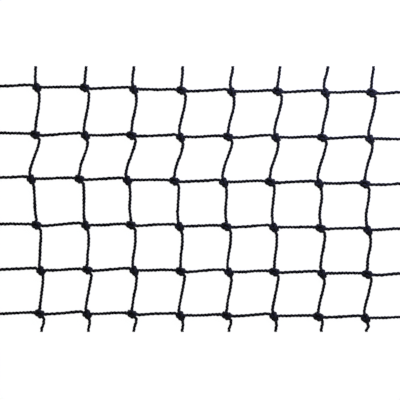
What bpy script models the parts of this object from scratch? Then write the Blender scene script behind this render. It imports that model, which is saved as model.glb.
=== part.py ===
"""Knotted bird netting: a cut piece of square-hung net, eight knots long and six deep, lying flat.

The net is machine-knotted from black three-ply polyethylene twine. Every crossing is a sheet bend
drawn down to a lump. The lump is longer than it is wide, and its long axis leans down to the right.
Seen along that axis, two strands come out side by side at its broad end, one at its narrow end and
one at its side. The broad end looks up to the left in one knot and down to the right in the next,
like the squares of a chessboard, because the net is turned over between rows as it is made. Each
strand leaves its knot a little lower and further right than the strand that came in opposite.

The whole net is one solid. It rests on the small flat undersides of its knots at z = 0, with +X
along the length of the net and +Y up its depth. All sizes are in metres.
"""

import math
from collections import namedtuple

import bmesh
import bpy
from mathutils import Matrix, Vector

# ---- sizes -------------------------------------------------------------------------------------

NET_HALF_LENGTH = 0.0830
NET_HALF_DEPTH = 0.0545

TWINE_DIAMETER = 0.00095
STRAND_SIDES = 6
STRAND_HEIGHT = 0.0012
STRAND_SAG = 0.0004
CUT_END_HEIGHT = 0.0009
HANDLE_LENGTH = 0.0058
CUT_HANDLE_LENGTH = 0.0030
SPANS_DOWN = 4
SPANS_ALONG = 3
SPANS_TO_CUT_END = 2

# A strand's section is a hexagon of the same area as the round twine.
SIDE_ANGLE = 2 * math.pi / STRAND_SIDES
STRAND_RADIUS = TWINE_DIAMETER / 2 * math.sqrt(SIDE_ANGLE / math.sin(SIDE_ANGLE))

KNOT_SIDES = 8
KNOT_AXIS_HEIGHT = 0.00115

SHADE_SMOOTH_ANGLE = math.radians(50)

# A row of knots: its height in the net at its middle, how much higher its right end is (tilt) and
# both its ends are (bow), how far it is pushed along, how much it is drawn out lengthwise, how far
# its strands drift as they leave downwards and as they reach the next row, and how far its cut ends
# at the left and the right rise above their knots.
Row = namedtuple("Row", "y tilt bow shift stretch leave arrive left right")
ROWS = (
    Row(
        y=0.0444, tilt=-0.0003, bow=0.0007, shift=0.0021, stretch=1.000,
        leave=-0.0001, arrive=0.0004, left=0.0005, right=0.0003,
    ),
    Row(
        y=0.0256, tilt=0.0002, bow=0.0002, shift=0.0014, stretch=0.994,
        leave=-0.0009, arrive=0.0005, left=0.0008, right=-0.0001,
    ),
    Row(
        y=0.0073, tilt=-0.0002, bow=0.0002, shift=-0.0006, stretch=0.997,
        leave=0.0003, arrive=-0.0011, left=0.0006, right=0.0001,
    ),
    Row(
        y=-0.0111, tilt=0.0000, bow=-0.0006, shift=0.0010, stretch=0.984,
        leave=0.0003, arrive=-0.0001, left=0.0005, right=0.0007,
    ),
    Row(
        y=-0.0296, tilt=0.0001, bow=-0.0004, shift=0.0017, stretch=0.975,
        leave=-0.0010, arrive=0.0008, left=0.0004, right=0.0003,
    ),
    Row(
        y=-0.0476, tilt=0.0001, bow=-0.0001, shift=0.0011, stretch=0.967,
        leave=0.0002, arrive=0.0000, left=-0.0001, right=0.0004,
    ),
)

# A column of knots: its place along the net at its middle, how much further right its top end is
# (lean) and both its ends are (bow), how far it hangs off the height of each row, and how far its
# cut ends at the top and the bottom are to the right of their knots.
Column = namedtuple("Column", "x lean bow rise top bottom")
COLUMNS = (
    Column(x=-0.0691, lean=-0.0002, bow=-0.0001, rise=0.0008, top=-0.0005, bottom=0.0006),
    Column(x=-0.0489, lean=0.0000, bow=-0.0005, rise=0.0007, top=0.0004, bottom=0.0004),
    Column(x=-0.0296, lean=0.0002, bow=-0.0001, rise=0.0005, top=0.0000, bottom=0.0006),
    Column(x=-0.0098, lean=0.0001, bow=0.0002, rise=0.0000, top=0.0004, bottom=0.0007),
    Column(x=0.0101, lean=0.0002, bow=0.0005, rise=-0.0002, top=0.0005, bottom=0.0008),
    Column(x=0.0295, lean=0.0000, bow=0.0005, rise=-0.0003, top=0.0009, bottom=0.0007),
    Column(x=0.0493, lean=-0.0001, bow=-0.0003, rise=-0.0007, top=0.0011, bottom=0.0011),
    Column(x=0.0686, lean=-0.0003, bow=-0.0001, rise=-0.0011, top=0.0008, bottom=0.0003),
)

# Where the middle of a strand is as it clears the lump, from the knot's own middle, and how far it
# then drifts over the length of a handle: to the right if it runs up or down, and upwards if it runs
# along the net.
Exit = namedtuple("Exit", "x y drift")

# How a knot lies: the slope of its long axis, which side its broad end looks to, how far it is off
# the lines of its row and column, and where its four strands leave it.
Lay = namedtuple("Lay", "slope broad_end x y up left down right")
STEEP = Lay(
    slope=math.radians(52),
    broad_end="upper left",
    x=0.0003,
    y=-0.0002,
    up=Exit(x=-0.0006, y=0.0023, drift=0.0004),
    left=Exit(x=-0.0024, y=0.0009, drift=-0.0003),
    down=Exit(x=0.0011, y=-0.0026, drift=0.0001),
    right=Exit(x=0.0019, y=0.0001, drift=-0.0002),
)
FLAT = Lay(
    slope=math.radians(35),
    broad_end="lower right",
    x=0.0,
    y=0.0,
    up=Exit(x=-0.0001, y=0.0019, drift=-0.0001),
    left=Exit(x=-0.0026, y=0.0005, drift=0.0002),
    down=Exit(x=0.0016, y=-0.0022, drift=-0.0004),
    right=Exit(x=0.0025, y=-0.0002, drift=0.0003),
)

# The lump along its long axis, from its narrow end to its broad end. The twine is wound into three
# ridges: the bend of the loop, the turn across it and the turn round its two legs.
Section = namedtuple("Section", "station lean half_width half_height")
KNOT_SECTIONS = (
    Section(station=-0.00205, lean=-0.00030, half_width=0.00070, half_height=0.00065),
    Section(station=-0.00145, lean=-0.00010, half_width=0.00122, half_height=0.00122),
    Section(station=-0.00080, lean=0.00000, half_width=0.00136, half_height=0.00114),
    Section(station=-0.00015, lean=0.00005, half_width=0.00150, half_height=0.00138),
    Section(station=0.00045, lean=0.00010, half_width=0.00150, half_height=0.00118),
    Section(station=0.00105, lean=0.00010, half_width=0.00156, half_height=0.00134),
    Section(station=0.00160, lean=0.00000, half_width=0.00122, half_height=0.00072),
)

# The side strand comes out between this section and the next but one. The web between the two
# strands at the broad end is this share of the width of the lump's own side faces.
SIDE_STRAND_SECTION = 1
WEB_SHARE = 0.30

# ---- finish ------------------------------------------------------------------------------------

TWINE_COLOUR = (0.012, 0.013, 0.019, 1.0)
TWINE_ROUGHNESS = 0.5

# ---- directions --------------------------------------------------------------------------------

UPRIGHT = Vector((0, 0, 1))
OUTWARDS = {
    "up": Vector((0, 1, 0)),
    "left": Vector((-1, 0, 0)),
    "down": Vector((0, -1, 0)),
    "right": Vector((1, 0, 0)),
}

# ---- layout of the net -------------------------------------------------------------------------


def lay_of(row, column):
    """Steep and flat knots alternate along the rows and down the columns."""
    return STEEP if (row + column) % 2 == 0 else FLAT


def knot_middle(row, column):
    """The middle of a knot in the plane of the net."""
    line, file, lay = ROWS[row], COLUMNS[column], lay_of(row, column)
    across, up = file.x / NET_HALF_LENGTH, line.y / NET_HALF_DEPTH
    x = file.x * line.stretch + line.shift + file.lean * up + file.bow * up**2 + lay.x
    y = line.y + file.rise + line.tilt * across + line.bow * across**2 + lay.y
    return Vector((x, y, 0))


def strand_start(row, column, side):
    """The middle of a strand where it clears its knot."""
    start = getattr(lay_of(row, column), side)
    return knot_middle(row, column) + Vector((start.x, start.y, STRAND_HEIGHT))


def handle_from(row, column, side):
    """How far and which way a strand runs straight on as it leaves its knot."""
    drift = getattr(lay_of(row, column), side).drift
    if side == "down":
        drift += ROWS[row].leave
    if side == "up":
        drift += ROWS[row - 1].arrive
    sideways = Vector((abs(OUTWARDS[side].y), abs(OUTWARDS[side].x), 0))
    return OUTWARDS[side] * HANDLE_LENGTH + sideways * drift - UPRIGHT * STRAND_SAG


# ---- sections and lofts ------------------------------------------------------------------------


def ring(mesh, middle, across, upright, sides, turn=0.0):
    """A closed loop of points round a middle: across and upright are its half width and height."""
    frame = Matrix((across, upright, across.cross(upright))).transposed().to_4x4()
    placed = Matrix.Translation(middle) @ frame @ Matrix.Rotation(turn, 4, "Z")
    return bmesh.ops.create_circle(mesh, segments=sides, radius=1.0, matrix=placed)["verts"]


def outline(points):
    """The edges that run round a ring that stands alone."""
    return list(dict.fromkeys(edge for point in points for edge in point.link_edges))


def loft(mesh, first, second):
    """Joins two loops of edges by a band of faces."""
    bmesh.ops.bridge_loops(mesh, edges=first + second)


# ---- a knot ------------------------------------------------------------------------------------


def corners_facing(points, direction):
    """The two neighbouring corners of a ring that look most in a direction, in the ring's order."""
    pairs = list(zip(points, points[1:] + points[:1]))
    return max(pairs, key=lambda pair: (pair[0].co + pair[1].co).dot(direction))


def side_opening(mesh, rings, across):
    """Opens two neighbouring faces of the lump's side and returns the six edges round them."""
    near, middle, far = rings[SIDE_STRAND_SECTION : SIDE_STRAND_SECTION + 3]
    a, b = (middle.index(corner) for corner in corners_facing(middle, across))
    faces = [
        mesh.faces.get((near[a], near[b], middle[b], middle[a])),
        mesh.faces.get((middle[a], middle[b], far[b], far[a])),
    ]
    edges = [edge for face in faces for edge in face.edges]
    around = [edge for edge in edges if edges.count(edge) == 1]
    bmesh.ops.delete(mesh, geom=faces, context="FACES")
    return around


def broad_openings(mesh, points, across):
    """Parts the broad end by a narrow web and returns the edges round the opening on each side."""
    web = mesh.faces.new(corners_facing(points, UPRIGHT) + corners_facing(points, -UPRIGHT))
    middle = web.calc_center_median()
    for corner in web.verts:
        corner.co -= across * ((corner.co - middle).dot(across) * (1 - WEB_SHARE))
    openings = []
    for direction in (across, -across):
        half = [p for p in points if (p.co - middle).dot(direction) > 0]
        openings.append([e for e in outline(half) if all(p in half for p in e.verts)])
    return openings


def knot(mesh, row, column):
    """The lump of one knot. Returns the loop of edges that each of its four strands joins."""
    lay = lay_of(row, column)
    across = Vector((math.sin(lay.slope), math.cos(lay.slope), 0))
    lengthwise = Vector((math.cos(lay.slope), -math.sin(lay.slope), 0))
    if lay.broad_end == "upper left":
        lengthwise.negate()
    half_side = math.pi / KNOT_SIDES
    axis = knot_middle(row, column) + UPRIGHT * KNOT_AXIS_HEIGHT
    rings = []
    for section in KNOT_SECTIONS:
        middle = axis + lengthwise * section.station + across * section.lean
        wide = across * (section.half_width / math.cos(half_side))
        tall = UPRIGHT * (section.half_height / math.cos(half_side))
        rings.append(ring(mesh, middle, wide, tall, KNOT_SIDES, half_side))
    narrow_end = outline(rings[0])
    loops = [outline(points) for points in rings]
    for first, second in zip(loops, loops[1:]):
        loft(mesh, first, second)
    for point in (point for points in rings for point in points):
        point.co.z = max(point.co.z, 0.0)
    side = side_opening(mesh, rings, across)
    inner, outer = broad_openings(mesh, rings[-1], across)
    if lay.broad_end == "upper left":
        return {"up": inner, "left": outer, "down": narrow_end, "right": side}
    return {"right": inner, "down": outer, "left": narrow_end, "up": side}


# ---- strands -----------------------------------------------------------------------------------


def curve_point(a, b, c, d, t):
    """A place on the curve with the four given control points."""
    s = 1 - t
    return a * s**3 + b * (3 * s * s * t) + c * (3 * s * t * t) + d * t**3


def curve_direction(a, b, c, d, t):
    """The direction of travel along the same curve."""
    s = 1 - t
    return ((b - a) * (s * s) + (c - b) * (2 * s * t) + (d - c) * (t * t)).normalized()


def strand(mesh, controls, spans, first_loop, last_loop=None):
    """A strand from its knot's opening along a curve, to the next knot's or to a square cut end."""
    loop = first_loop
    for step in range(spans + 1):
        along = curve_direction(*controls, step / spans)
        across = along.cross(UPRIGHT).normalized()
        middle = curve_point(*controls, step / spans)
        wide = across * STRAND_RADIUS
        tall = across.cross(along) * STRAND_RADIUS
        following = outline(ring(mesh, middle, wide, tall, STRAND_SIDES))
        loft(mesh, loop, following)
        loop = following
    if last_loop:
        loft(mesh, loop, last_loop)
    else:
        bmesh.ops.edgeloop_fill(mesh, edges=loop)


def strands_down(mesh, openings):
    """The strands that run from each row of knots to the row below it."""
    for row, column in openings:
        if (row + 1, column) not in openings:
            continue
        start = strand_start(row, column, "down")
        end = strand_start(row + 1, column, "up")
        leave = handle_from(row, column, "down")
        arrive = handle_from(row + 1, column, "up")
        controls = (start, start + leave, end + arrive, end)
        loops = (openings[row, column]["down"], openings[row + 1, column]["up"])
        strand(mesh, controls, SPANS_DOWN, *loops)


def strands_along(mesh, openings):
    """The strands that run from each column of knots to the next one on its right."""
    for row, column in openings:
        if (row, column + 1) not in openings:
            continue
        start = strand_start(row, column, "right")
        end = strand_start(row, column + 1, "left")
        leave = handle_from(row, column, "right")
        arrive = handle_from(row, column + 1, "left")
        controls = (start, start + leave, end + arrive, end)
        loops = (openings[row, column]["right"], openings[row, column + 1]["left"])
        strand(mesh, controls, SPANS_ALONG, *loops)


def cut_end(row, column, side):
    """The middle of the square cut end of a strand at the edge of the net."""
    knot_place = knot_middle(row, column)
    if side in ("left", "right"):
        x = OUTWARDS[side].x * NET_HALF_LENGTH
        return Vector((x, knot_place.y + getattr(ROWS[row], side), CUT_END_HEIGHT))
    drift = COLUMNS[column].top if side == "up" else COLUMNS[column].bottom
    y = OUTWARDS[side].y * NET_HALF_DEPTH
    return Vector((knot_place.x + drift, y, CUT_END_HEIGHT))


def cut_strands(mesh, openings):
    """The short strands all round the net, from its outer knots to the line where it was cut."""
    last_row, last_column = len(ROWS) - 1, len(COLUMNS) - 1
    for (row, column), loops in openings.items():
        edges = {"up": row == 0, "down": row == last_row}
        edges |= {"left": column == 0, "right": column == last_column}
        for side in (side for side, at_edge in edges.items() if at_edge):
            start = strand_start(row, column, side)
            end = cut_end(row, column, side)
            handle = OUTWARDS[side] * CUT_HANDLE_LENGTH
            controls = (start, start + handle, end - handle, end)
            strand(mesh, controls, SPANS_TO_CUT_END, loops[side])


# ---- the finished net --------------------------------------------------------------------------


def twine_finish():
    """Black polyethylene with a faint sheen."""
    material = bpy.data.materials.new("black_twine")
    material.use_nodes = True
    shader = material.node_tree.nodes["Principled BSDF"]
    shader.inputs["Base Color"].default_value = TWINE_COLOUR
    shader.inputs["Roughness"].default_value = TWINE_ROUGHNESS
    shader.inputs["Metallic"].default_value = 0.0
    return material


def netting():
    """The whole net as one closed mesh object."""
    mesh = bmesh.new()
    openings = {}
    for row in range(len(ROWS)):
        for column in range(len(COLUMNS)):
            openings[row, column] = knot(mesh, row, column)
    strands_down(mesh, openings)
    strands_along(mesh, openings)
    cut_strands(mesh, openings)
    bmesh.ops.recalc_face_normals(mesh, faces=mesh.faces)
    data = bpy.data.meshes.new("net")
    mesh.to_mesh(data)
    mesh.free()
    data.materials.append(twine_finish())
    data.shade_smooth()
    data.set_sharp_from_angle(angle=SHADE_SMOOTH_ANGLE)
    return bpy.data.objects.new("net", data)


def main():
    """Clears the scene and lays the net in a collection of its own."""
    for old in list(bpy.data.objects):
        bpy.data.objects.remove(old, do_unlink=True)
    collection = bpy.data.collections.new("bird_netting")
    bpy.context.scene.collection.children.link(collection)
    collection.objects.link(netting())


main()
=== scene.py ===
"""Black knotted bird netting, laid flat on a light table.

The net is tied from fourteen three-ply twines that run through it on the slant. Where two twines
meet they are tied in a sheet bend: one twine makes the bight, the other is wrapped round it. Here
every twine is led through its knots turn by turn, the knots are drawn down until their turns bear
on each other, and the plies are then laid along the finished path. Sizes are in metres.
"""

import logging
import math
from collections.abc import Iterator
from dataclasses import dataclass, field
from enum import Enum

import bpy
import numpy as np
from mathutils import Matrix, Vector


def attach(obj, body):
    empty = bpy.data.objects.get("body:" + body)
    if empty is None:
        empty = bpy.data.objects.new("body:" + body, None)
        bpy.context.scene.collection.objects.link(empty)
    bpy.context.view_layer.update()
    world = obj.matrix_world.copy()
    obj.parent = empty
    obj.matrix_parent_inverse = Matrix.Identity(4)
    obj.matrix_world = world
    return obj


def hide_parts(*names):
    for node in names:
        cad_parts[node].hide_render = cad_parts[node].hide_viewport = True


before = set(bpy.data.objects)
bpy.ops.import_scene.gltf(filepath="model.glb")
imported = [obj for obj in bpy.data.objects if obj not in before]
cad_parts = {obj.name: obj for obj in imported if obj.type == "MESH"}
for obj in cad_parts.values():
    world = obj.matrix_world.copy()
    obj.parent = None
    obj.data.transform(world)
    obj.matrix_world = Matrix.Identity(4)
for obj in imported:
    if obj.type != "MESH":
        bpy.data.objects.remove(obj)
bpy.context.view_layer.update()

LOG = logging.getLogger("bird_netting")

NET_NODE = "net"
NET_SLOT = "black_twine"
NET_BODY = "root"
BAKE_MAP = "OFBake"

LEAST_DISTANCE = 1e-9


# ---- the layout of the net ---------------------------------------------------------------------


class Side(Enum):
    """A way out of a knot, as the direction in which its strand leaves."""

    UP = (0.0, 1.0)
    LEFT = (-1.0, 0.0)
    DOWN = (0.0, -1.0)
    RIGHT = (1.0, 0.0)

    @property
    def outwards(self) -> np.ndarray:
        """The direction away from the knot."""
        return np.array((*self.value, 0.0))

    @property
    def opposite(self) -> "Side":
        """The side on which a strand that leaves here reaches the next knot."""
        return Side((-self.value[0], -self.value[1]))

    @property
    def step(self) -> tuple[int, int]:
        """How many rows down and columns along the next knot is."""
        return -int(self.value[1]), int(self.value[0])


@dataclass(frozen=True)
class Row:
    """A row of knots.

    It has a height in the net at its middle. Its right end is higher than its middle by the tilt
    and both its ends by the bow. It is pushed along and drawn out lengthwise, and its strands drift
    as they leave downwards and as they reach the next row. Its cut ends at the left and the right
    rise above their knots.
    """

    y: float
    tilt: float
    bow: float
    shift: float
    stretch: float
    leave: float
    arrive: float
    left: float
    right: float


@dataclass(frozen=True)
class Column:
    """A column of knots.

    It has a place along the net at its middle. Its top end is further right than its middle by the
    lean and both its ends by the bow. The rise is how far it hangs off the heights of the rows. Its
    cut ends at the top and the bottom are to the right of their knots.
    """

    x: float
    lean: float
    bow: float
    rise: float
    top: float
    bottom: float


@dataclass(frozen=True)
class Exit:
    """Where the middle of a strand is as it clears its knot, from the knot's own middle.

    The drift is how far it then strays over the length of a handle, to the right if it runs up or
    down and upwards if it runs along the net.
    """

    x: float
    y: float
    drift: float


@dataclass(frozen=True)
class KnotPose:
    """How a knot lies in the net.

    Its long axis slopes down to the right. Its broad end looks up to the left where the front of
    the sheet bend is up, and down to the right where the knot lies on its front. The nudge is how
    far it is off the lines of its row and column. Bight and wrap are the two sides that each strand
    joins, in the order in which its twine runs. On the slack side a strand has lost some of its
    turns.
    """

    slope: float
    front_up: bool
    nudge: tuple[float, float]
    up: Exit
    left: Exit
    down: Exit
    right: Exit
    bight: tuple[Side, Side]
    wrap: tuple[Side, Side]
    slack: Side

    @property
    def facing(self) -> int:
        """1 where the front of the knot is up, and -1 where it is down."""
        return 1 if self.front_up else -1

    def exit(self, side: Side) -> Exit:
        """Where its strand leaves it on one side."""
        return getattr(self, side.name.lower())

    def axes(self) -> np.ndarray:
        """The directions across the knot, along it to its broad end, and out of its front."""
        across = (math.sin(self.slope), math.cos(self.slope), 0.0)
        along = (-math.cos(self.slope) * self.facing, math.sin(self.slope) * self.facing, 0.0)
        return np.array((across, along, (0.0, 0.0, self.facing)))


class Lay(Enum):
    """The two ways in which knots lie, by turns along every row and column."""

    STEEP = KnotPose(
        slope=math.radians(52),
        front_up=True,
        nudge=(0.0003, -0.0002),
        up=Exit(x=-0.0006, y=0.0027, drift=0.0004),
        left=Exit(x=-0.0022, y=0.00105, drift=-0.0003),
        down=Exit(x=0.00105, y=-0.0028, drift=0.0002),
        right=Exit(x=0.0023, y=0.00015, drift=-0.0002),
        bight=(Side.UP, Side.LEFT),
        wrap=(Side.RIGHT, Side.DOWN),
        slack=Side.LEFT,
    )
    FLAT = KnotPose(
        slope=math.radians(27),
        front_up=False,
        nudge=(0.0, 0.0),
        up=Exit(x=-0.00006, y=0.0022, drift=-0.0001),
        left=Exit(x=-0.0028, y=0.0005, drift=0.0001),
        down=Exit(x=0.00165, y=-0.0019, drift=-0.0001),
        right=Exit(x=0.0029, y=-0.0003, drift=0.0003),
        bight=(Side.RIGHT, Side.DOWN),
        wrap=(Side.UP, Side.LEFT),
        slack=Side.RIGHT,
    )


Controls = tuple[np.ndarray, np.ndarray, np.ndarray, np.ndarray]


@dataclass(frozen=True)
class NetLayout:
    """Where every knot and strand of the net lies."""

    half_length: float = 0.0830
    half_depth: float = 0.0545
    strand_height: float = 0.0012
    strand_sag: float = 0.0004
    cut_end_height: float = 0.0009
    handle: float = 0.0058
    cut_handle: float = 0.0030
    rows: tuple[Row, ...] = (
        Row(
            y=0.0444, tilt=-0.0003, bow=0.0007, shift=0.0021, stretch=1.000,
            leave=-0.0001, arrive=0.0004, left=0.0005, right=0.0003,
        ),
        Row(
            y=0.0256, tilt=0.0002, bow=0.0002, shift=0.0014, stretch=0.994,
            leave=-0.0009, arrive=0.0005, left=0.0008, right=-0.0001,
        ),
        Row(
            y=0.0073, tilt=-0.0002, bow=0.0002, shift=-0.0006, stretch=0.997,
            leave=0.0003, arrive=-0.0011, left=0.0006, right=0.0001,
        ),
        Row(
            y=-0.0111, tilt=0.0000, bow=-0.0006, shift=0.0010, stretch=0.984,
            leave=0.0003, arrive=-0.0001, left=0.0005, right=0.0007,
        ),
        Row(
            y=-0.0296, tilt=0.0001, bow=-0.0004, shift=0.0017, stretch=0.975,
            leave=-0.0008, arrive=0.0006, left=0.0004, right=0.0003,
        ),
        Row(
            y=-0.0476, tilt=0.0001, bow=-0.0001, shift=0.0011, stretch=0.967,
            leave=0.0002, arrive=0.0000, left=-0.0001, right=0.0004,
        ),
    )
    columns: tuple[Column, ...] = (
        Column(x=-0.0691, lean=-0.0002, bow=-0.0001, rise=0.0008, top=-0.0005, bottom=0.0006),
        Column(x=-0.0489, lean=0.0000, bow=-0.0005, rise=0.0007, top=0.0004, bottom=0.0004),
        Column(x=-0.0296, lean=0.0002, bow=-0.0001, rise=0.0005, top=0.0000, bottom=0.0006),
        Column(x=-0.0098, lean=0.0001, bow=0.0002, rise=0.0000, top=0.0004, bottom=0.0007),
        Column(x=0.0101, lean=0.0002, bow=0.0005, rise=-0.0002, top=0.0005, bottom=0.0008),
        Column(x=0.0295, lean=0.0000, bow=0.0005, rise=-0.0003, top=0.0009, bottom=0.0007),
        Column(x=0.0493, lean=-0.0001, bow=-0.0003, rise=-0.0007, top=0.0011, bottom=0.0011),
        Column(x=0.0686, lean=-0.0003, bow=-0.0001, rise=-0.0011, top=0.0008, bottom=0.0003),
    )

    def places(self) -> list[tuple[int, int]]:
        """The row and column of every knot, row by row."""
        return [(r, c) for r in range(len(self.rows)) for c in range(len(self.columns))]

    def pose(self, place: tuple[int, int]) -> KnotPose:
        """How the knot at a place lies: the two lays alternate like the squares of a chessboard."""
        return (Lay.STEEP if sum(place) % 2 == 0 else Lay.FLAT).value

    def middle(self, place: tuple[int, int]) -> np.ndarray:
        """The middle of a knot in the plane of the net."""
        row, column = self.rows[place[0]], self.columns[place[1]]
        across, up = column.x / self.half_length, row.y / self.half_depth
        x, y = self.pose(place).nudge
        x += column.x * row.stretch + row.shift + column.lean * up + column.bow * up**2
        y += row.y + column.rise + row.tilt * across + row.bow * across**2
        return np.array((x, y, 0.0))

    def strand_start(self, place: tuple[int, int], side: Side) -> np.ndarray:
        """The middle of a strand where it clears its knot."""
        way_out = self.pose(place).exit(side)
        return self.middle(place) + (way_out.x, way_out.y, self.strand_height)

    def neighbour(self, place: tuple[int, int], side: Side) -> tuple[int, int] | None:
        """The next knot on one side, or None at the edge of the net."""
        down, along = side.step
        row, column = place[0] + down, place[1] + along
        if 0 <= row < len(self.rows) and 0 <= column < len(self.columns):
            return row, column
        return None

    def cut_end(self, place: tuple[int, int], side: Side) -> np.ndarray:
        """The middle of the cut end of a strand at the edge of the net."""
        x, y, _ = self.middle(place)
        row, column = self.rows[place[0]], self.columns[place[1]]
        ends = {
            Side.UP: (x + column.top, self.half_depth),
            Side.DOWN: (x + column.bottom, -self.half_depth),
            Side.LEFT: (-self.half_length, y + row.left),
            Side.RIGHT: (self.half_length, y + row.right),
        }
        return np.array((*ends[side], self.cut_end_height))

    def strand(self, place: tuple[int, int], side: Side) -> Controls:
        """The curve of the strand that leaves a knot on one side.

        Args:
            place: The knot's row and column.
            side: The side on which the strand leaves it.

        Returns:
            The four control points, from this knot to the next knot or to the cut end.
        """
        start = self.strand_start(place, side)
        following = self.neighbour(place, side)
        if following is None:
            end = self.cut_end(place, side)
            handle = side.outwards * self.cut_handle
            return start, start + handle, end - handle, end
        end = self.strand_start(following, side.opposite)
        leave = self.handle_from(place, side)
        arrive = self.handle_from(following, side.opposite)
        return start, start + leave, end + arrive, end

    def handle_from(self, place: tuple[int, int], side: Side) -> np.ndarray:
        """How far and which way a strand runs straight on as it leaves its knot."""
        drift = self.pose(place).exit(side).drift
        if side is Side.DOWN:
            drift += self.rows[place[0]].leave
        if side is Side.UP:
            drift += self.rows[place[0] - 1].arrive
        sideways = np.array((abs(side.value[1]), abs(side.value[0]), 0.0))
        sag = np.array((0.0, 0.0, -self.strand_sag))
        return side.outwards * self.handle + sideways * drift + sag


# ---- paths -------------------------------------------------------------------------------------


def bezier(controls: Controls, count: int) -> np.ndarray:
    """Points along the curve with four control points.

    Args:
        controls: The control points.
        count: How many points to give, both ends among them.

    Returns:
        One point a row.
    """
    a, b, c, d = controls
    t = np.linspace(0, 1, count)[:, None]
    s = 1 - t
    return a * s**3 + b * (3 * s * s * t) + c * (3 * s * t * t) + d * t**3


def lengths_along(path: np.ndarray) -> np.ndarray:
    """The distance along a path at each of its points."""
    steps = np.linalg.norm(np.diff(path, axis=0), axis=1)
    return np.concatenate(([0.0], np.cumsum(steps)))


def resampled(path: np.ndarray, along: np.ndarray, wanted: np.ndarray) -> np.ndarray:
    """The points of a path at the wanted distances along it."""
    return np.stack([np.interp(wanted, along, axis) for axis in path.T], axis=1)


def evenly(path: np.ndarray, count: int) -> np.ndarray:
    """The same path with a given number of points at even distances."""
    along = lengths_along(path)
    return resampled(path, along, np.linspace(0, along[-1], count))


def running_total(rate: np.ndarray, along: np.ndarray) -> np.ndarray:
    """What a rate per metre adds up to by each point of a path."""
    parts = (rate[1:] + rate[:-1]) / 2 * np.diff(along)
    return np.concatenate(([0.0], np.cumsum(parts)))


def softened(path: np.ndarray, passes: int) -> np.ndarray:
    """The same path with its corners eased and its ends held."""
    for _ in range(passes):
        eased = (path[:-2] + 2 * path[1:-1] + path[2:]) / 4
        path = np.concatenate((path[:1], eased, path[-1:]))
    return path


def read_map(layer: bpy.types.MeshUVLoopLayer) -> np.ndarray:
    """Reads a map of a mesh, one place a row."""
    places = np.empty(len(layer.uv) * 2, np.float32)
    layer.uv.foreach_get("vector", places)
    return places.reshape(-1, 2)


# ---- knots -------------------------------------------------------------------------------------


@dataclass(frozen=True)
class Turn:
    """A place that a strand passes in its knot, in widths of the drawn-down twine.

    It is measured from the knot's middle: across it, along it to its broad end, and up to its front.
    """

    across: float
    along: float
    height: float


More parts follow.
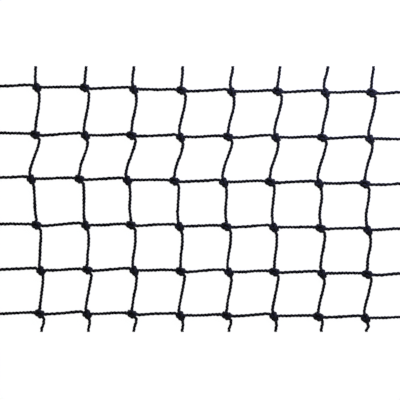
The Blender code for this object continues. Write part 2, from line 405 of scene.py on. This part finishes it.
@dataclass(frozen=True)
class SheetBends:
    """All the knots of the net, led turn by turn and drawn down together.

    A turn takes the turn width, times a share across the knot, along it and upwards, because a
    drawn-down knot is flattened on the table and drawn out along its long axis.
    """

    layout: NetLayout
    turn_width: float = 0.00095
    turn_shares: tuple[float, float, float] = (0.99, 1.06, 1.0)
    middle_height: float = 0.00136
    height_spread: float = 0.00080
    body_centre: tuple[float, float] = (-0.00004, -0.00013)
    bight_beads: int = 44
    wrap_beads: int = 66
    held_beads: int = 3
    loose_beads: int = 6
    bead_step: float = 0.00028
    touching_beads: int = 5
    rounds: int = 260
    first_tension: float = 0.30
    last_tension: float = 0.05
    stiffness: float = 0.35
    gather: float = 0.010
    centring: float = 0.05

    # The loop: down one leg, round the narrow end in front of the other strand, up the other leg.
    bight_turns: tuple[Turn, ...] = (
        Turn(across=0.75, along=2.4, height=0.0),
        Turn(across=0.62, along=1.5, height=0.0),
        Turn(across=0.90, along=0.2, height=0.0),
        Turn(across=0.95, along=-0.9, height=0.1),
        Turn(across=0.60, along=-1.75, height=0.4),
        Turn(across=0.00, along=-2.0, height=0.6),
        Turn(across=-0.60, along=-1.75, height=0.4),
        Turn(across=-0.95, along=-0.9, height=0.1),
        Turn(across=-0.90, along=0.2, height=0.0),
        Turn(across=-0.62, along=1.5, height=0.0),
        Turn(across=-0.75, along=2.4, height=0.0),
    )
    # The other strand: in over one leg, under its own part, over and round behind both legs, back
    # over the first leg, down through the loop and out behind its bend.
    wrap_turns: tuple[Turn, ...] = (
        Turn(across=2.2, along=-1.5, height=0.2),
        Turn(across=1.6, along=-1.3, height=0.6),
        Turn(across=0.95, along=-0.85, height=0.95),
        Turn(across=0.35, along=-0.25, height=0.1),
        Turn(across=-0.3, along=0.35, height=0.5),
        Turn(across=-1.0, along=0.9, height=0.95),
        Turn(across=-1.6, along=1.3, height=0.1),
        Turn(across=-1.0, along=1.7, height=-0.85),
        Turn(across=0.0, along=1.8, height=-1.0),
        Turn(across=1.0, along=1.7, height=-0.85),
        Turn(across=1.6, along=1.2, height=0.1),
        Turn(across=1.0, along=0.6, height=1.0),
        Turn(across=0.45, along=-0.35, height=1.0),
        Turn(across=0.1, along=-1.1, height=0.1),
        Turn(across=-0.1, along=-1.95, height=-0.6),
        Turn(across=-0.5, along=-2.8, height=-0.4),
    )

    def to_knot(self, place: tuple[int, int], points: np.ndarray) -> np.ndarray:
        """Takes points of the net to a knot's own directions, in which every turn is round."""
        middle = self.layout.middle(place) + (0.0, 0.0, self.middle_height)
        return (points - middle) @ self.layout.pose(place).axes().T / self.turn_shares

    def from_knot(self, place: tuple[int, int], points: np.ndarray) -> np.ndarray:
        """Takes points back from a knot's own directions to the net."""
        middle = self.layout.middle(place) + (0.0, 0.0, self.middle_height)
        return (points * self.turn_shares) @ self.layout.pose(place).axes() + middle

    def led(self, place: tuple[int, int], turns: tuple[Turn, ...], sides: tuple[Side, Side],
            count: int) -> np.ndarray:
        """One strand led loosely through its knot.

        Args:
            place: The knot's row and column.
            turns: The places that the strand passes.
            sides: Where the strand comes in and where it goes out.
            count: How many beads it is given.

        Returns:
            The beads, in the knot's own directions, from the strand that comes in to the strand
            that goes out. The first and last few lie on those strands, straight outside the knot.
        """
        ends, outside = [], []
        for side in sides:
            start, following, *_ = self.layout.strand(place, side)
            direction = (following - start) / np.linalg.norm(following - start)
            steps = np.arange(1, self.held_beads)[:, None] * self.bead_step
            ends.append(self.to_knot(place, start))
            outside.append(self.to_knot(place, start + direction * steps))
        inner = [
            np.array((turn.across, turn.along, turn.height)) * self.turn_width for turn in turns
        ]
        route = evenly(np.array((ends[0], *inner, ends[1])), count - 2 * (self.held_beads - 1))
        return np.concatenate((outside[0][::-1], route, outside[1]))

    def draw_down(self, beads: np.ndarray) -> np.ndarray:
        """Pulls every strand taut while no turn may lie inside another.

        Args:
            beads: The loose beads of every knot, bight first and then wrap.

        Returns:
            The same beads once their turns bear on each other.
        """
        index = np.arange(beads.shape[1])
        wrap = index >= self.bight_beads
        near = np.abs(index[:, None] - index) < self.touching_beads
        may_touch = ~(near & (wrap[:, None] == wrap))
        before = np.where(wrap, index - self.bight_beads, index)
        after = np.where(wrap, self.wrap_beads, self.bight_beads) - 1 - before
        from_end = np.minimum(before, after)
        free = index[from_end >= self.held_beads]
        body = index[from_end >= self.held_beads + self.loose_beads]
        for tension in np.linspace(self.first_tension, self.last_tension, self.rounds):
            straight = (beads[:, free - 1] + beads[:, free + 1]) / 2
            beads[:, free] += tension * (straight - beads[:, free])
            centre = beads[:, body].mean(axis=1, keepdims=True)
            beads[:, body] += self.gather * (centre - beads[:, body])
            beads[:, body, :2] += self.centring * (self.body_centre - centre[:, :, :2])
            distance = np.linalg.norm(beads[:, :, None] - beads[:, None], axis=3) + LEAST_DISTANCE
            push = np.clip(self.turn_width / distance - 1, 0, 1) * may_touch * self.stiffness
            moved = beads * push.sum(axis=2, keepdims=True) - push @ beads
            beads[:, free] += moved[:, free]
            height = beads[:, free, 2]
            beads[:, free, 2] = height.clip(-self.height_spread, self.height_spread)
        return beads

    def tied(self) -> dict[tuple[tuple[int, int], Side], np.ndarray]:
        """Ties every knot.

        Returns:
            The path of each strand inside its knot, by the knot's place and the side on which the
            strand comes in.
        """
        places = self.layout.places()
        loose = []
        for place in places:
            pose = self.layout.pose(place)
            bight = self.led(place, self.bight_turns, pose.bight, self.bight_beads)
            wrap = self.led(place, self.wrap_turns, pose.wrap, self.wrap_beads)
            loose.append(np.concatenate((bight, wrap)))
        inside = slice(self.held_beads - 1, 1 - self.held_beads)
        paths = {}
        for place, beads in zip(places, self.draw_down(np.array(loose))):
            pose, beads = self.layout.pose(place), self.from_knot(place, beads)
            paths[place, pose.bight[0]] = beads[: self.bight_beads][inside]
            paths[place, pose.wrap[0]] = beads[self.bight_beads :][inside]
        return paths


# ---- shader tools ------------------------------------------------------------------------------


@dataclass(frozen=True)
class Value:
    """A number that varies over a surface, as the socket it comes from."""

    tree: bpy.types.NodeTree
    socket: bpy.types.NodeSocket

    def _maths(self, operation: str, *numbers: "Value | float") -> "Value":
        """Adds a Math node and gives its result."""
        node = self.tree.nodes.new("ShaderNodeMath")
        node.operation = operation
        for socket, number in zip(node.inputs, numbers):
            if isinstance(number, Value):
                self.tree.links.new(number.socket, socket)
            else:
                socket.default_value = number
        return Value(self.tree, node.outputs[0])

    def __add__(self, other: "Value | float") -> "Value":
        """The sum."""
        return self._maths("ADD", self, other)

    def __sub__(self, other: "Value | float") -> "Value":
        """The difference."""
        return self._maths("SUBTRACT", self, other)

    def __mul__(self, other: "Value | float") -> "Value":
        """The product."""
        return self._maths("MULTIPLY", self, other)

    def fraction(self) -> "Value":
        """What is left above the next whole number down."""
        return self._maths("FRACT", self)

    def size(self) -> "Value":
        """The number without its sign."""
        return self._maths("ABSOLUTE", self)

    def sine(self) -> "Value":
        """The sine of the number."""
        return self._maths("SINE", self)

    def cosine(self) -> "Value":
        """The cosine of the number."""
        return self._maths("COSINE", self)

    def power(self, exponent: float) -> "Value":
        """The number raised to a power."""
        return self._maths("POWER", self, exponent)


Feed = Value | bpy.types.NodeSocket | float | tuple[float, ...]


class Surface:
    """A material under construction, with one way of adding nodes to it."""

    def __init__(self, name: str) -> None:
        """Starts a material that holds a Principled shader."""
        self.material = bpy.data.materials.new(name)
        self.material.use_nodes = True
        self.tree = self.material.node_tree
        self.shader = self.tree.nodes["Principled BSDF"]

    def node(self, kind: str, settings: dict[str, object] | None = None,
             **feeds: Feed) -> bpy.types.Node:
        """Adds a node.

        Args:
            kind: The node's type.
            settings: Its settings, which are made first.
            **feeds: What its inputs take, by their names with _ for a space.

        Returns:
            The node.
        """
        made = self.tree.nodes.new(kind)
        for setting, choice in (settings or {}).items():
            setattr(made, setting, choice)
        for name, feed in feeds.items():
            self.feed(made.inputs[name.replace("_", " ")], feed)
        return made

    def feed(self, socket: bpy.types.NodeSocket, feed: Feed) -> None:
        """Sets an input to a constant, or links what feeds it."""
        if isinstance(feed, Value):
            self.tree.links.new(feed.socket, socket)
        elif isinstance(feed, bpy.types.NodeSocket):
            self.tree.links.new(feed, socket)
        else:
            socket.default_value = feed

    def value(self, socket: bpy.types.NodeSocket) -> Value:
        """Wraps an output, so that it can be used in sums."""
        return Value(self.tree, socket)

    def blend(self, share: Value, low: tuple[float, ...],
              high: tuple[float, ...]) -> bpy.types.NodeSocket:
        """A colour between two others."""
        mix = self.node("ShaderNodeMix", {"data_type": "RGBA"})
        self.feed(mix.inputs["Factor"], share)
        colours = [socket for socket in mix.inputs if socket.type == "RGBA"]
        colours[0].default_value = low
        colours[1].default_value = high
        return next(socket for socket in mix.outputs if socket.type == "RGBA")


# ---- finishes ----------------------------------------------------------------------------------


@dataclass(frozen=True)
class TwineFinish:
    """Black polyethylene filament, laid up in plies: dull, with a painted highlight that makes the
    raised knots and the crowns of their plies greyer.
    """

    lay_map: str = "lay"
    ply_count: int = 3
    filament_colour: tuple[float, ...] = (0.0046, 0.0046, 0.0048, 1.0)
    # Painted highlight: the grey that the black is blended to on the raised knots.
    painted_highlight_colour: tuple[float, ...] = (0.0275, 0.0275, 0.0285, 1.0)
    highlight_from: float = 0.0010
    highlight_height: float = 0.0026
    roughness: float = 0.46
    roughness_spread: float = 0.16
    specular: float = 0.02
    filament_scale: float = 5.0
    filament_stretch: float = 0.35
    filament_detail: float = 3.0
    filament_relief: float = 0.00003
    patch_scale: float = 90.0
    patch_detail: float = 2.0
    # Shares of the painted highlight taken by random flecks and by the ply crowns.
    fleck_share: float = 0.25
    crown_highlight: float = 0.5

    def build(self) -> bpy.types.Material:
        """Makes the material.

        Returns:
            The material, which reads the lay map of the piece that it is on.
        """
        surface = Surface(NET_SLOT)
        lay = surface.node("ShaderNodeUVMap", {"uv_map": self.lay_map})
        parts = surface.node("ShaderNodeSeparateXYZ", Vector=lay.outputs["UV"])
        along = surface.value(parts.outputs["X"])
        around = surface.value(parts.outputs["Y"])
        # Filaments run straight along the twine while the plies wind round it.
        turn = (around + along) * (2 * math.pi)
        where = surface.node(
            "ShaderNodeCombineXYZ",
            X=turn.cosine(),
            Y=turn.sine(),
            Z=along * self.filament_stretch,
        )
        filaments = surface.node(
            "ShaderNodeTexNoise",
            Vector=where.outputs["Vector"],
            Scale=self.filament_scale,
            Detail=self.filament_detail,
        )
        filament = surface.value(filaments.outputs["Fac"])
        # The crown is the middle of a ply, and is nothing in the creases between the plies; it paints
        # a highlight on the crowns and leaves painted shade in the creases.
        ply = (around * self.ply_count).fraction()
        crown = (ply * (-2.0) + 1.0).size().power(2.0) * (-1.0) + 1.0
        place = surface.node("ShaderNodeTexCoord").outputs["Object"]
        patches = surface.node(
            "ShaderNodeTexNoise",
            Vector=place,
            Scale=self.patch_scale,
            Detail=self.patch_detail,
        )
        patch = surface.value(patches.outputs["Fac"])
        # The knots stand proud of the strands; a painted highlight greys the twine the higher it
        # stands above the table.
        height = surface.value(surface.node("ShaderNodeSeparateXYZ", Vector=place).outputs["Z"])
        knot_highlight = surface.value(
            surface.node(
                "ShaderNodeMapRange",
                {"interpolation_type": "SMOOTHSTEP"},
                Value=height,
                From_Min=self.highlight_from,
                From_Max=self.highlight_height,
            ).outputs["Result"]
        )
        # Painted highlight on the knots, stronger on the ply crowns, with random flecks of filament
        # and patch noise in it.
        highlight_and_flecks = ((filament + patch) * self.fleck_share + crown * self.crown_highlight) * knot_highlight
        surface.feed(
            surface.shader.inputs["Base Color"],
            surface.blend(highlight_and_flecks, self.filament_colour, self.painted_highlight_colour),
        )
        surface.feed(
            surface.shader.inputs["Roughness"],
            (filament - 0.5) * self.roughness_spread + self.roughness,
        )
        surface.feed(surface.shader.inputs["Specular IOR Level"], self.specular)
        bump = surface.node(
            "ShaderNodeBump",
            Strength=1.0,
            Distance=self.filament_relief,
            Height=filament,
        )
        surface.feed(surface.shader.inputs["Normal"], bump.outputs["Normal"])
        return surface.material


@dataclass(frozen=True)
class TableFinish:
    """The matt white top of a light table, lit evenly from below."""

    colour: tuple[float, ...] = (0.08, 0.08, 0.08, 1.0)
    glow_colour: tuple[float, ...] = (1.0, 1.0, 1.0, 1.0)
    glow: float = 0.965
    roughness: float = 0.9
    specular: float = 0.1

    def build(self) -> bpy.types.Material:
        """Makes the material."""
        surface = Surface("light_table")
        surface.feed(surface.shader.inputs["Base Color"], self.colour)
        surface.feed(surface.shader.inputs["Roughness"], self.roughness)
        surface.feed(surface.shader.inputs["Specular IOR Level"], self.specular)
        surface.feed(surface.shader.inputs["Emission Color"], self.glow_colour)
        surface.feed(surface.shader.inputs["Emission Strength"], self.glow)
        return surface.material


# ---- the net -----------------------------------------------------------------------------------


@dataclass
class TwistedTwine:
    """Three plies laid up into a twine, along any path."""

    radius: float = 0.00071
    ply_count: int = 3
    ply_offset: float = 1.1
    outline_angles: tuple[float, ...] = (-60.0, -30.0, 0.0, 30.0)
    lay_length: float = 0.0044
    knot_radius_share: float = 1.02
    swell: float = 0.07
    swell_passes: int = 6
    crease_filling: tuple[float, ...] = (0.75, 0.08, 0.0, 0.08)
    profile: bpy.types.Object | None = None

    @property
    def sides(self) -> int:
        """How many points its outline has."""
        return self.ply_count * len(self.outline_angles)

    def reach(self, angle: float) -> float:
        """How far a ply's outline is from the twine's middle at an angle off the ply's crown."""
        crown = self.ply_offset * math.cos(angle)
        crown += math.sqrt(1 - (self.ply_offset * math.sin(angle)) ** 2)
        return self.radius * crown / (1 + self.ply_offset)

    def build_profile(self) -> None:
        """Draws the outline of the plies as a closed curve that starts in a crease."""
        curve = bpy.data.curves.new("ply_outline", "CURVE")
        curve.dimensions = "2D"
        spline = curve.splines.new("POLY")
        corners = [
            (self.reach(math.radians(angle)), 2 * math.pi * ply / self.ply_count + math.radians(angle))
            for ply in range(self.ply_count)
            for angle in self.outline_angles
        ]
        spline.points.add(len(corners) - 1)
        for point, (reach, direction) in zip(spline.points, corners):
            point.co = (reach * math.cos(direction), reach * math.sin(direction), 0.0, 1.0)
        spline.use_cyclic_u = True
        self.profile = bpy.data.objects.new("ply_outline", curve)
        bpy.context.scene.collection.objects.link(self.profile)

    def remove_profile(self) -> None:
        """Takes the outline away once every twine is laid."""
        curve = self.profile.data
        bpy.data.objects.remove(self.profile, do_unlink=True)
        bpy.data.curves.remove(curve)

    def build(self, name: str, path: np.ndarray, thickness: np.ndarray,
              turns: np.ndarray) -> bpy.types.Object:
        """Lays a twine along a path.

        Args:
            name: The piece's name.
            path: The middle of the twine, point by point.
            thickness: The share of its full radius at each point.
            turns: How many times the plies have wound round it by each point.

        Returns:
            The twine as a closed mesh.
        """
        curve = bpy.data.curves.new(name, "CURVE")
        curve.dimensions = "3D"
        curve.bevel_mode = "OBJECT"
        curve.bevel_object = self.profile
        curve.use_fill_caps = True
        spline = curve.splines.new("POLY")
        spline.points.add(len(path) - 1)
        spline.points.foreach_set("co", np.column_stack((path, np.ones(len(path)))).ravel())
        spline.points.foreach_set("tilt", 2 * math.pi * turns)
        spline.points.foreach_set("radius", thickness)
        twine = bpy.data.objects.new(name, curve)
        bpy.context.scene.collection.objects.link(twine)
        bpy.ops.object.select_all(action="DESELECT")
        twine.select_set(True)
        bpy.context.view_layer.objects.active = twine
        bpy.ops.object.convert(target="MESH")
        return bpy.context.view_layer.objects.active

    def settle(self, twine: bpy.types.Object, path: np.ndarray, drawn_in: np.ndarray,
               chance: np.random.Generator) -> None:
        """Lets every ply swell and shrink a little, and flattens the plies together in the knots.

        Args:
            twine: The twine as it was laid, whose rings come last, one after the other.
            path: Its middle, ring by ring.
            drawn_in: How far each ring is drawn into a knot, up to 1.
            chance: Where the swelling is drawn from.
        """
        points = np.empty(len(twine.data.vertices) * 3, np.float32)
        twine.data.vertices.foreach_get("co", points)
        rings = points.reshape(-1, 3)[-len(path) * self.sides :].reshape(len(path), self.sides, 3)
        swelling = softened(chance.normal(0, 1, (len(path), self.ply_count)), self.swell_passes)
        swelling *= self.swell / swelling[1:-1].std()
        swelling[[0, -1]] = 0.0
        ply, part = np.divmod(np.arange(self.sides), len(self.outline_angles))
        filling = np.array(self.crease_filling)[part] * drawn_in[:, None]
        middle = path[:, None].astype(np.float32)
        rings += (rings - middle) * (swelling[:, ply] + filling)[:, :, None]
        twine.data.vertices.foreach_set("co", points)
        twine.data.update()


@dataclass
class KnottedNet:
    """The net: its knots tied, its twines laid, joined into one piece."""

    layout: NetLayout = field(default_factory=NetLayout)
    twine: TwistedTwine = field(default_factory=TwistedTwine)
    finish: TwineFinish = field(default_factory=TwineFinish)
    knot_step: float = 0.00028
    strand_step: float = 0.00040
    strand_points: int = 60
    knot_points: int = 60
    sway: float = 0.00007
    sway_waves: tuple[int, ...] = (1, 2, 3)
    path_passes: int = 2
    drawing_in_passes: int = 6
    seed: int = 11
    slack_share: float = 0.75
    flat_size: tuple[float, float] = (0.166, 0.109)
    cover_share: float = 0.3
    weld: float = 1e-6
    map_strips: int = 27
    map_margin: float = 0.04
    map_spare: float = 0.008
    end_size: float = 0.35

    @property
    def twine_count(self) -> int:
        """How many twines run through the net on the slant."""
        return len(self.layout.rows) + len(self.layout.columns)

    @property
    def cut_ends(self) -> int:
        """How many cut ends the net has."""
        return 2 * self.twine_count

    def stations(self, number: int) -> Iterator[tuple[tuple[int, int], Side, Side]]:
        """The knots that a twine passes, from its upper right end to its lower left end.

        Args:
            number: The twine's number, counted from the upper left corner of the net.

        Yields:
            The place of a knot, the side on which the twine comes in and the one on which it
            goes out.
        """
        rows, columns = len(self.layout.rows), len(self.layout.columns)
        row = max(0, number - columns)
        column = min(number, columns - 1)
        coming = Side.UP if number < columns else Side.RIGHT
        while row < rows and column >= 0:
            if coming is Side.UP:
                yield (row, column), Side.UP, Side.LEFT
                column -= 1
                coming = Side.RIGHT
            else:
                yield (row, column), Side.RIGHT, Side.DOWN
                row += 1
                coming = Side.UP

    def swaying(self, points: np.ndarray, chance: np.random.Generator) -> np.ndarray:
        """Lets a strand wander a little between its ends, as set twine does.

        Args:
            points: The middle of the strand, point by point.
            chance: Where the size of each wave is drawn from.

        Returns:
            The points, moved sideways in the plane of the net.
        """
        t = np.linspace(0, 1, len(points))
        along = points[-1] - points[0]
        sideways = np.array((-along[1], along[0], 0.0)) / np.linalg.norm(along)
        sway = sum(
            chance.normal(0, self.sway / wave) * np.sin(math.pi * wave * t)
            for wave in self.sway_waves
        )
        return points + sideways * (sway * np.sin(math.pi * t))[:, None]

    def turns_kept(self, place: tuple[int, int], side: Side) -> float:
        """The share of its turns that the strand on one side of a knot has kept."""
        return self.slack_share if self.layout.pose(place).slack is side else 1.0

    def path(self, number: int, knots: dict[tuple[tuple[int, int], Side], np.ndarray],
             chance: np.random.Generator) -> tuple[np.ndarray, np.ndarray, np.ndarray]:
        """The whole way of one twine through the net.

        Args:
            number: The twine's number.
            knots: The strands inside the knots.
            chance: Where the small differences between strands are drawn from.

        Returns:
            The twine's middle, point by point, whether it is drawn in by a knot there, and the
            share of its turns that it has kept.
        """
        pieces, tight, kept = [], [], []
        stations = list(self.stations(number))
        first_place, first_side, _ = stations[0]
        end = bezier(self.layout.strand(first_place, first_side), self.strand_points)
        pieces.append(self.swaying(end, chance)[::-1])
        tight.append(np.zeros(self.strand_points))
        kept.append(np.full(self.strand_points, self.turns_kept(first_place, first_side)))
        for place, coming, going in stations:
            inside = evenly(knots[place, coming], self.knot_points)
            pieces.append(inside[1:-1])
            tight.append(np.ones(len(inside) - 2))
            kept.append(np.ones(len(inside) - 2))
            strand = bezier(self.layout.strand(place, going), self.strand_points)
            pieces.append(self.swaying(strand, chance))
            tight.append(np.zeros(self.strand_points))
            kept.append(np.full(self.strand_points, self.turns_kept(place, going)))
        return np.concatenate(pieces), np.concatenate(tight), np.concatenate(kept)

    def build(self) -> bpy.types.Object:
        """Ties the knots, lays all the twines and joins them.

        Returns:
            The net, as one mesh.
        """
        knots = SheetBends(self.layout).tied()
        LOG.info("tied %d knots", len(self.layout.places()))
        chance = np.random.default_rng(self.seed)
        self.twine.build_profile()
        twines, total, total_turns = [], 0.0, 0.0
        for number in range(self.twine_count):
            path, tight, kept = self.path(number, knots, chance)
            along = lengths_along(path)
            step = self.strand_step + (self.knot_step - self.strand_step) * tight
            rings = running_total(1 / step, along)
            wanted = np.interp(np.linspace(0, rings[-1], round(rings[-1])), rings, along)
            centre = softened(resampled(path, along, wanted), self.path_passes)
            drawn_in = np.interp(wanted, along, tight)[:, None]
            drawn_in = softened(drawn_in, self.drawing_in_passes)[:, 0]
            thickness = 1 - (1 - self.twine.knot_radius_share) * drawn_in
            turns = running_total(kept / self.twine.lay_length, along)
            turns = total_turns + np.interp(wanted, along, turns)
            twine = self.twine.build(f"twine_{number}", centre, thickness, turns)
            self.twine.settle(twine, centre, drawn_in, chance)
            self.map_lay(twine, turns)
            total += along[-1]
            total_turns = turns[-1]
            twines.append(twine)
        self.twine.remove_profile()
        LOG.info("laid %d twines, %.2f m in all", len(twines), total)
        bpy.ops.object.select_all(action="DESELECT")
        for twine in twines:
            twine.select_set(True)
        bpy.context.view_layer.objects.active = twines[0]
        bpy.ops.object.join()
        net = bpy.context.view_layer.objects.active
        net.name = "twisted_netting"
        return net

    def map_lay(self, twine: bpy.types.Object, turns: np.ndarray) -> None:
        """Turns a twine's own map into the lay map.

        Args:
            twine: The twine, with the map that its curve left on it.
            turns: How many times the plies have wound round it by each ring.
        """
        layer = twine.data.uv_layers[0]
        layer.name = self.finish.lay_map
        places = read_map(layer)
        rings = places[:, 0] * (len(turns) - 1)
        places[:, 0] = np.interp(rings, np.arange(len(turns)), turns)
        layer.uv.foreach_set("vector", places.ravel())

    def close_ends(self, net: bpy.types.Object) -> None:
        """Welds the caps to their twines, rests the net on the table and smooths its surface.

        Args:
            net: The net, as one mesh.
        """
        bpy.ops.object.mode_set(mode="EDIT")
        bpy.ops.mesh.select_all(action="SELECT")
        bpy.ops.mesh.remove_doubles(threshold=self.weld)
        bpy.ops.mesh.normals_make_consistent(inside=False)
        bpy.ops.object.mode_set(mode="OBJECT")
        corners = np.empty(len(net.data.vertices) * 3, np.float32)
        net.data.vertices.foreach_get("co", corners)
        corners[2::3] = corners[2::3].clip(min=0.0)
        net.data.vertices.foreach_set("co", corners)
        net.data.update()
        bpy.ops.object.shade_smooth()

    def map_surface(self, net: bpy.types.Object) -> None:
        """Lays the surface out flat: the twine in strips side by side, then a strip of cut ends.

        Args:
            net: The net, with its lay map and its ends closed.
        """
        mesh = net.data
        along, around = read_map(mesh.uv_layers[self.finish.lay_map]).T
        sizes = np.empty(len(mesh.polygons), np.int32)
        mesh.polygons.foreach_get("loop_total", sizes)
        nearest = np.minimum.reduceat(along, np.cumsum(sizes) - sizes)
        strip_length = along.max() / self.map_strips * (1 + self.map_spare)
        strip = np.repeat(np.floor(nearest / strip_length), sizes)
        share = self.map_margin + (1 - 2 * self.map_margin) * around
        length = (along / strip_length - strip) * (1 - self.map_spare)
        places = np.column_stack((strip + share, length))
        # The sides of the twine are four-cornered, and its cut ends are filled with triangles.
        at_end = np.repeat(sizes == 3, sizes)
        corners = np.empty(len(mesh.loops), np.int32)
        mesh.loops.foreach_get("vertex_index", corners)
        points = np.empty(len(mesh.vertices) * 3, np.float32)
        mesh.vertices.foreach_get("co", points)
        cut = points.reshape(-1, 3)[corners[at_end]].reshape(self.cut_ends, -1, 3)
        disc = np.stack((cut[..., 0] + cut[..., 1], cut[..., 2]), axis=2)
        disc -= disc.mean(axis=1, keepdims=True)
        disc = 0.5 + disc * (self.end_size / self.twine.radius)
        disc[..., 0] += self.map_strips
        disc[..., 1] = (disc[..., 1] + np.arange(self.cut_ends)[:, None]) / self.cut_ends
        places[at_end] = disc.reshape(-1, 2)
        places[:, 0] /= self.map_strips + 1
        flat = mesh.uv_layers.new(name=BAKE_MAP)
        flat.uv.foreach_set("vector", places.astype(np.float32).ravel())

    def dress(self, net: bpy.types.Object) -> None:
        """Gives the net its finish and its place in the frame.

        Args:
            net: The net, as one mesh.
        """
        net.data.materials.clear()
        net.data.materials.append(self.finish.build())
        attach(net, NET_BODY)
        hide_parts(NET_NODE)
        width, depth = self.flat_size


# ---- the studio --------------------------------------------------------------------------------


@dataclass
class Studio:
    """A light table in a dim room, under one soft lamp, with the camera straight above the net."""

    table_size: float = 6.0
    table_finish: TableFinish = field(default_factory=TableFinish)
    seen_length: float = 0.164
    seen_middle: tuple[float, float, float] = (0.0, -0.0004, 0.0012)
    lens: float = 85.0
    sensor: float = 36.0
    room_brightness: float = 0.4
    key_power: float = 0.82
    key_colour: tuple[float, float, float] = (0.38, 0.42, 1.0)
    key_size: float = 0.14
    key_place: tuple[float, float, float] = (0.10, 0.13, 0.07)

    def build_table(self) -> bpy.types.Object:
        """The table top."""
        bpy.ops.object.select_all(action="DESELECT")
        bpy.ops.mesh.primitive_plane_add(size=self.table_size, location=(0, 0, 0))
        table = bpy.context.view_layer.objects.active
        table.name = "table"
        table.data.materials.append(self.table_finish.build())
        return table

    def build_camera(self) -> None:
        """The camera, looking straight down."""
        data = bpy.data.cameras.new("camera")
        data.lens = self.lens
        data.sensor_width = self.sensor
        camera = bpy.data.objects.new("camera", data)
        x, y, z = self.seen_middle
        camera.location = (x, y, z + self.seen_length * self.lens / self.sensor)
        bpy.context.scene.collection.objects.link(camera)
        bpy.context.scene.camera = camera

    def build_lights(self) -> None:
        """One small soft lamp above a corner of the net, and an even, dim room round it."""
        world = bpy.data.worlds.new("dim_room")
        world.use_nodes = True
        room = world.node_tree.nodes["Background"]
        room.inputs["Color"].default_value = (1.0, 1.0, 1.0, 1.0)
        room.inputs["Strength"].default_value = self.room_brightness
        bpy.context.scene.world = world
        data = bpy.data.lights.new("key_lamp", "AREA")
        data.energy = self.key_power
        data.color = self.key_colour
        data.size = self.key_size
        lamp = bpy.data.objects.new("key_lamp", data)
        lamp.location = self.key_place
        lamp.rotation_euler = Vector(self.key_place).to_track_quat("Z", "Y").to_euler()
        bpy.context.scene.collection.objects.link(lamp)
        bpy.context.scene.view_settings.view_transform = "Standard"


def triangles(piece: bpy.types.Object) -> int:
    """How many triangles a piece has."""
    return sum(len(face.vertices) - 2 for face in piece.data.polygons)


def main() -> None:
    """Builds the studio and the net, and reports each piece."""
    logging.basicConfig(level=logging.INFO, format="%(name)s: %(message)s")
    studio = Studio()
    studio.build_camera()
    studio.build_lights()
    table = studio.build_table()
    LOG.info("%s: %.1f m square", table.name, studio.table_size)
    net = KnottedNet()
    piece = net.build()
    net.close_ends(piece)
    net.map_surface(piece)
    net.dress(piece)
    LOG.info("%s: %d triangles", piece.name, triangles(piece))


if __name__ == "__main__":
    main()
